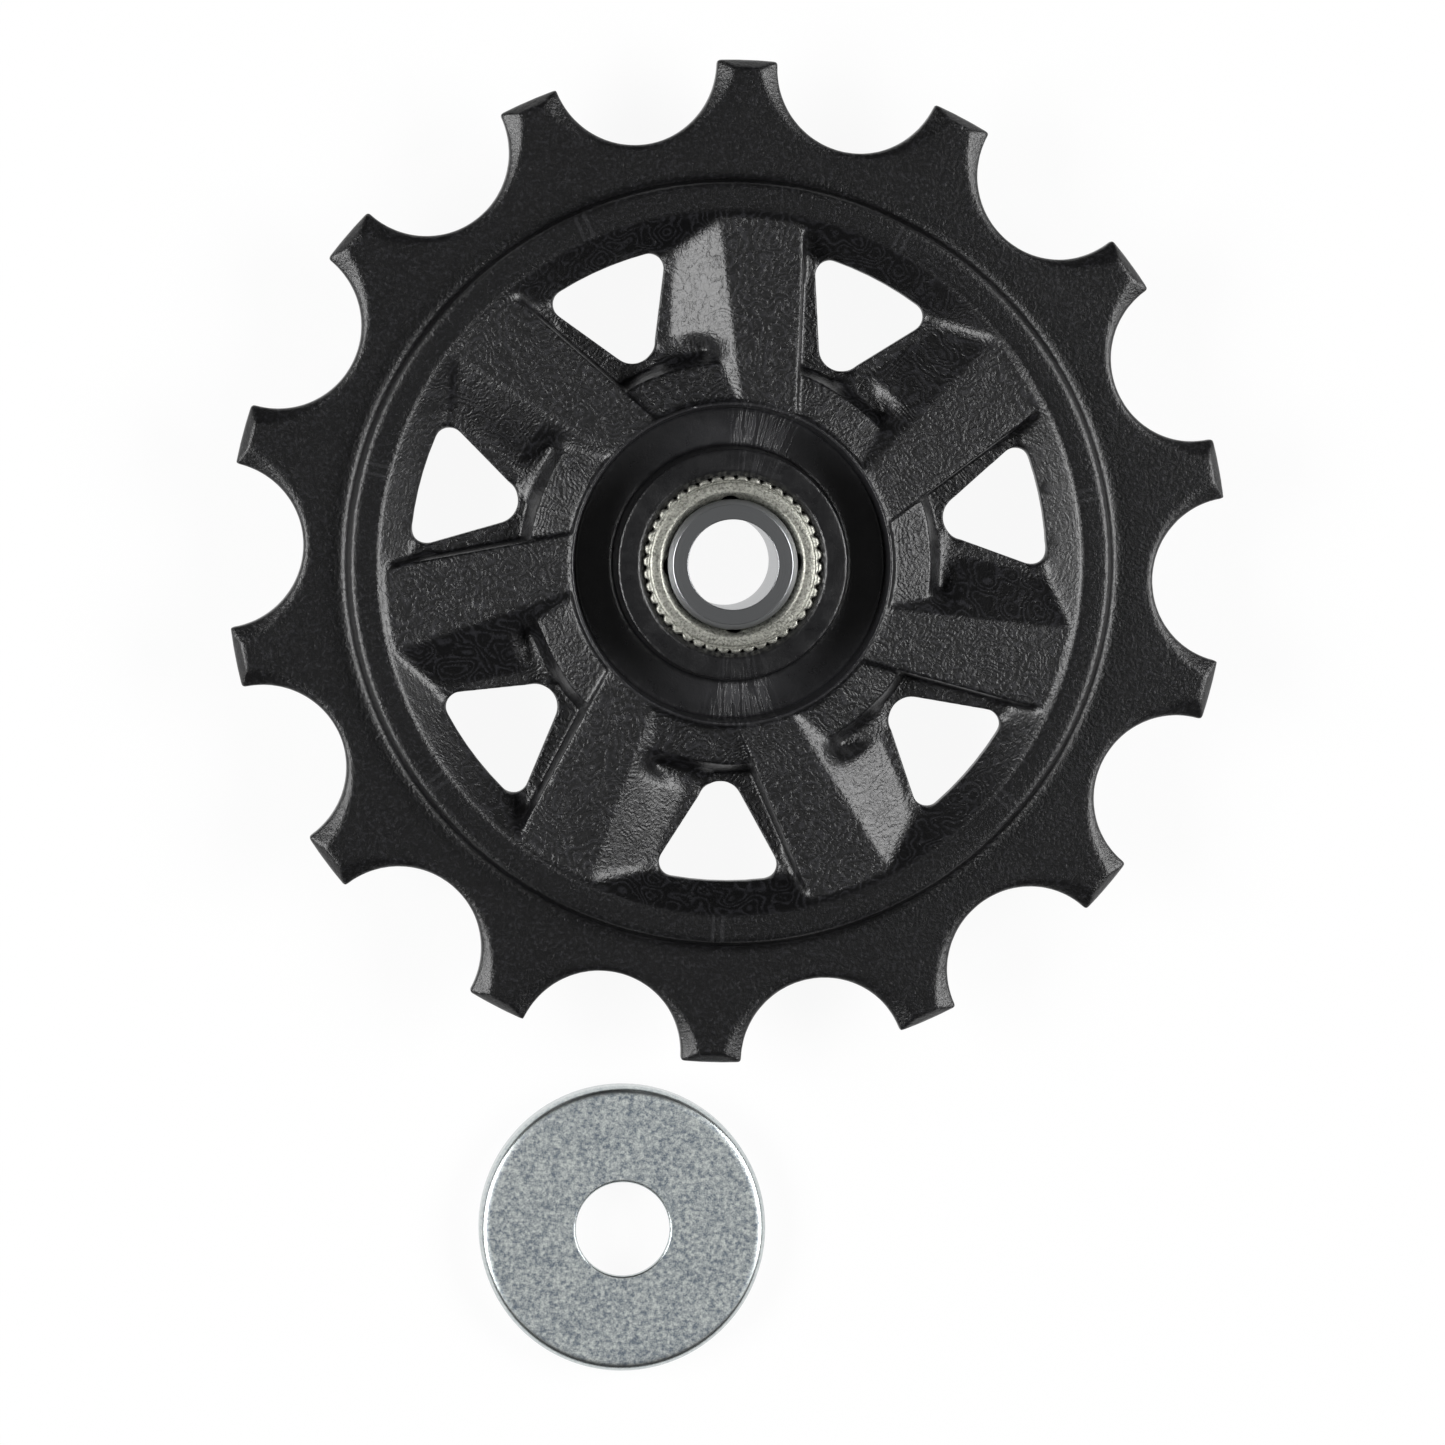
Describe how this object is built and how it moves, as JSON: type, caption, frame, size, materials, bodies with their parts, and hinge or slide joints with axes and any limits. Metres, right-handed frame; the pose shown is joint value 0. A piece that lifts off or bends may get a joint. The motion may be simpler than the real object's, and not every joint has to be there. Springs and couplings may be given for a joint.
{
  "type": "derailleur jockey wheel",
  "caption": "Toothed derailleur jockey wheel with slanted spokes, moulded round a knurled plain bush, on a steel axle sleeve with stamped dust covers.",
  "frame": {"origin": "on the spin axis, in the middle of the sleeve's bore and of the toothed disc", "axes": "+Z along the spin axis, out of the side that faces up; +Y through the middle of one tooth and one spoke; +X to the right of it"},
  "size_m": [0.0574, 0.0768, 0.0084],
  "materials": {
    "nylon": "satin black glass-filled nylon",
    "sintered_metal": "sintered, warm pale grey, fine grained",
    "turned_steel": "fine turned",
    "zinc_plated_steel": "tumbled, zinc plated, bluish silver"
  },
  "bodies": {
    "axle": {"axle_sleeve": "turned_steel", "rear_cover": "zinc_plated_steel", "front_cover": "zinc_plated_steel"},
    "wheel": {"pulley_wheel": "nylon", "bearing_bush": "sintered_metal"}
  },
  "joints": [
    {"name": "wheel_spin", "type": "hinge", "parent": "axle", "child": "wheel", "pos_m": [0, 0, 0], "axis": [0, 0, 1], "continuous": true}
  ]
}
